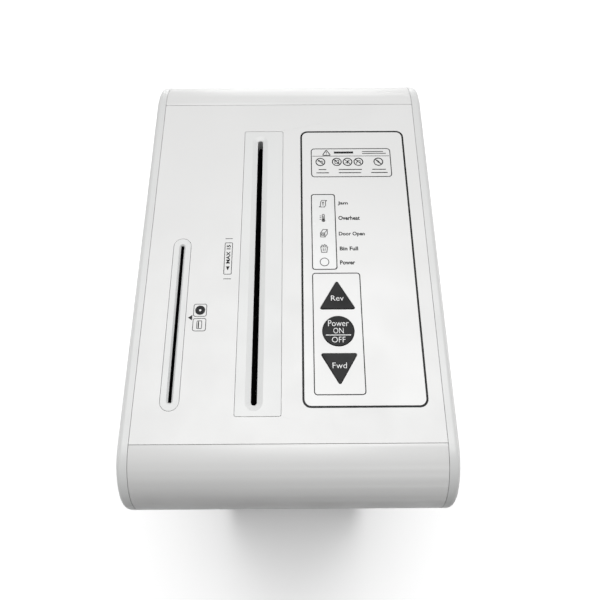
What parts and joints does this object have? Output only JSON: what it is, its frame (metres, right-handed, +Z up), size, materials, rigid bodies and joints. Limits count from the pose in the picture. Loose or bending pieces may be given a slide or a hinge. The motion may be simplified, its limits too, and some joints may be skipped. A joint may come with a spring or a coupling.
{
  "type": "paper shredder",
  "caption": "Free-standing office paper shredder: rounded head with paper and disc slots, keypad, geared cutters, pull-out bin and twin-wheel castors.",
  "frame": {"origin": "on the floor, under the centre of the machine", "axes": "+X to the user's right, +Y away from the user, +Z up; the bin opens towards -Y"},
  "size_m": [0.235, 0.3816, 0.5608],
  "materials": {
    "head_plastic": "light grey moulded plastic, fine texture",
    "cheek_plastic": "slightly darker grey moulded plastic",
    "insert_plastic": "light grey moulded plastic",
    "panel_film": "printed film on a light grey panel",
    "key_plastic": "near-black key",
    "window_plastic": "translucent pale window",
    "smoked_plastic": "dark smoked window",
    "cabinet_paint": "light grey powder coat",
    "bin_plastic": "dark grey moulded plastic",
    "front_plastic": "light grey moulded plastic",
    "cutter_steel": "oiled machined steel",
    "plate_steel": "zinc plated steel",
    "bush_bronze": "sintered bronze",
    "comb_plastic": "black moulded plastic",
    "gear_nylon": "natural nylon",
    "motor_paint": "dark painted motor",
    "board_green": "circuit board",
    "black_plastic": "black moulded plastic",
    "castor_plastic": "black nylon",
    "wheel_rubber": "dark grey tread",
    "screw_steel": "plated screw"
  },
  "bodies": {
    "housing": {"top_panel": "head_plastic", "front_fascia": "head_plastic", "rear_fascia": "head_plastic", "left_cheek": "cheek_plastic", "right_cheek": "cheek_plastic", "head_base": "head_plastic", "paper_throat": "insert_plastic", "cd_throat": "insert_plastic", "paper_sensor": "black_plastic", "control_panel": "panel_film", "indicator_window": "window_plastic", "control_board": "board_green", "paper_combs": "comb_plastic", "cd_combs": "comb_plastic", "front_bearing_plate": "plate_steel", "rear_bearing_plate": "plate_steel", "bushes": "bush_bronze", "tie_bars": "plate_steel", "gear_posts": "plate_steel", "gearbox_cover": "comb_plastic", "motor_case": "motor_paint", "power_board": "board_green", "socket_panel": "black_plastic", "mains_socket": "black_plastic", "switch_frame": "black_plastic", "bin_sensors": "black_plastic", "left_side_panel": "cabinet_paint", "right_side_panel": "cabinet_paint", "rear_panel": "cabinet_paint", "base_plate": "cabinet_paint", "castor_sockets": "castor_plastic", "cabinet_screws": "screw_steel"},
    "bin": {"waste_bin": "bin_plastic", "bin_front": "front_plastic", "bin_window": "smoked_plastic", "cd_tray": "smoked_plastic"},
    "rev_button": {"rev_key": "key_plastic"},
    "power_button": {"power_key": "key_plastic"},
    "fwd_button": {"fwd_key": "key_plastic"},
    "rocker": {"switch_rocker": "black_plastic"},
    "motor_shaft": {"motor_rotor": "cutter_steel", "motor_fan": "black_plastic"},
    "paper_shaft_right": {"paper_cutter_right": "cutter_steel", "paper_gear_right": "gear_nylon"},
    "paper_shaft_left": {"paper_cutter_left": "cutter_steel", "paper_gear_left": "gear_nylon"},
    "cd_shaft_right": {"cd_cutter_right": "cutter_steel", "cd_gear_right": "gear_nylon"},
    "cd_shaft_left": {"cd_cutter_left": "cutter_steel", "cd_gear_left": "gear_nylon"},
    "second_reduction": {"second_reduction_gear": "gear_nylon"},
    "first_reduction": {"first_reduction_gear": "gear_nylon"},
    "castor_front_left": {"castor_hood_front_left": "castor_plastic"},
    "wheels_front_left": {"castor_wheels_front_left": "wheel_rubber"},
    "castor_front_right": {"castor_hood_front_right": "castor_plastic"},
    "wheels_front_right": {"castor_wheels_front_right": "wheel_rubber"},
    "castor_rear_left": {"castor_hood_rear_left": "castor_plastic"},
    "wheels_rear_left": {"castor_wheels_rear_left": "wheel_rubber"},
    "castor_rear_right": {"castor_hood_rear_right": "castor_plastic"},
    "wheels_rear_right": {"castor_wheels_rear_right": "wheel_rubber"}
  },
  "joints": [
    {"name": "bin_slide", "type": "slide", "parent": "housing", "child": "bin", "axis": [0, -1, 0], "range_m": [0, 0.3]},
    {"name": "rev_press", "type": "slide", "parent": "housing", "child": "rev_button", "axis": [0, 0, -1], "range_m": [0, 0.0008], "stiffness_N_per_m": 400, "springref_m": -0.002},
    {"name": "power_press", "type": "slide", "parent": "housing", "child": "power_button", "axis": [0, 0, -1], "range_m": [0, 0.0008], "stiffness_N_per_m": 400, "springref_m": -0.002},
    {"name": "fwd_press", "type": "slide", "parent": "housing", "child": "fwd_button", "axis": [0, 0, -1], "range_m": [0, 0.0008], "stiffness_N_per_m": 400, "springref_m": -0.002},
    {"name": "rocker_tip", "type": "hinge", "parent": "housing", "child": "rocker", "pos_m": [0.059, 0.18174, 0.4967], "axis": [0, 0, 1], "range_deg": [0, 18]},
    {"name": "motor_spin", "type": "hinge", "parent": "housing", "child": "motor_shaft", "pos_m": [0.066, 0.0606, 0.504], "axis": [0, 1, 0], "continuous": true},
    {"name": "paper_right_spin", "type": "hinge", "parent": "housing", "child": "paper_shaft_right", "pos_m": [-0.0064, -0.0094, 0.502], "axis": [0, 1, 0], "continuous": true},
    {"name": "paper_left_spin", "type": "hinge", "parent": "housing", "child": "paper_shaft_left", "pos_m": [-0.0424, -0.0094, 0.502], "axis": [0, 1, 0], "continuous": true},
    {"name": "cd_right_spin", "type": "hinge", "parent": "housing", "child": "cd_shaft_right", "pos_m": [-0.0718, -0.0596, 0.47792], "axis": [0, 1, 0], "continuous": true},
    {"name": "cd_left_spin", "type": "hinge", "parent": "housing", "child": "cd_shaft_left", "pos_m": [-0.0958, -0.0596, 0.47792], "axis": [0, 1, 0], "continuous": true},
    {"name": "second_reduction_spin", "type": "hinge", "parent": "housing", "child": "second_reduction", "pos_m": [0.04157, 0.1356, 0.50037], "axis": [0, 1, 0], "continuous": true},
    {"name": "first_reduction_spin", "type": "hinge", "parent": "housing", "child": "first_reduction", "pos_m": [0.07312, 0.1356, 0.47744], "axis": [0, 1, 0], "continuous": true},
    {"name": "front_left_swivel", "type": "hinge", "parent": "housing", "child": "castor_front_left", "pos_m": [-0.086, -0.128, 0.058], "axis": [0, 0, 1], "continuous": true},
    {"name": "front_left_roll", "type": "hinge", "parent": "castor_front_left", "child": "wheels_front_left", "pos_m": [-0.086, -0.112, 0.02], "axis": [1, 0, 0], "continuous": true},
    {"name": "front_right_swivel", "type": "hinge", "parent": "housing", "child": "castor_front_right", "pos_m": [0.086, -0.128, 0.058], "axis": [0, 0, 1], "continuous": true},
    {"name": "front_right_roll", "type": "hinge", "parent": "castor_front_right", "child": "wheels_front_right", "pos_m": [0.086, -0.112, 0.02], "axis": [1, 0, 0], "continuous": true},
    {"name": "rear_left_swivel", "type": "hinge", "parent": "housing", "child": "castor_rear_left", "pos_m": [-0.086, 0.128, 0.058], "axis": [0, 0, 1], "continuous": true},
    {"name": "rear_left_roll", "type": "hinge", "parent": "castor_rear_left", "child": "wheels_rear_left", "pos_m": [-0.086, 0.144, 0.02], "axis": [1, 0, 0], "continuous": true},
    {"name": "rear_right_swivel", "type": "hinge", "parent": "housing", "child": "castor_rear_right", "pos_m": [0.086, 0.128, 0.058], "axis": [0, 0, 1], "continuous": true},
    {"name": "rear_right_roll", "type": "hinge", "parent": "castor_rear_right", "child": "wheels_rear_right", "pos_m": [0.086, 0.144, 0.02], "axis": [1, 0, 0], "continuous": true}
  ],
  "couplings": [
    {"joint": "first_reduction_spin", "follows": "motor_spin", "ratio": -0.25},
    {"joint": "second_reduction_spin", "follows": "motor_spin", "ratio": 0.075},
    {"joint": "paper_right_spin", "follows": "motor_spin", "ratio": -0.025},
    {"joint": "paper_left_spin", "follows": "motor_spin", "ratio": 0.025},
    {"joint": "cd_right_spin", "follows": "motor_spin", "ratio": -0.0225},
    {"joint": "cd_left_spin", "follows": "motor_spin", "ratio": 0.0225}
  ]
}
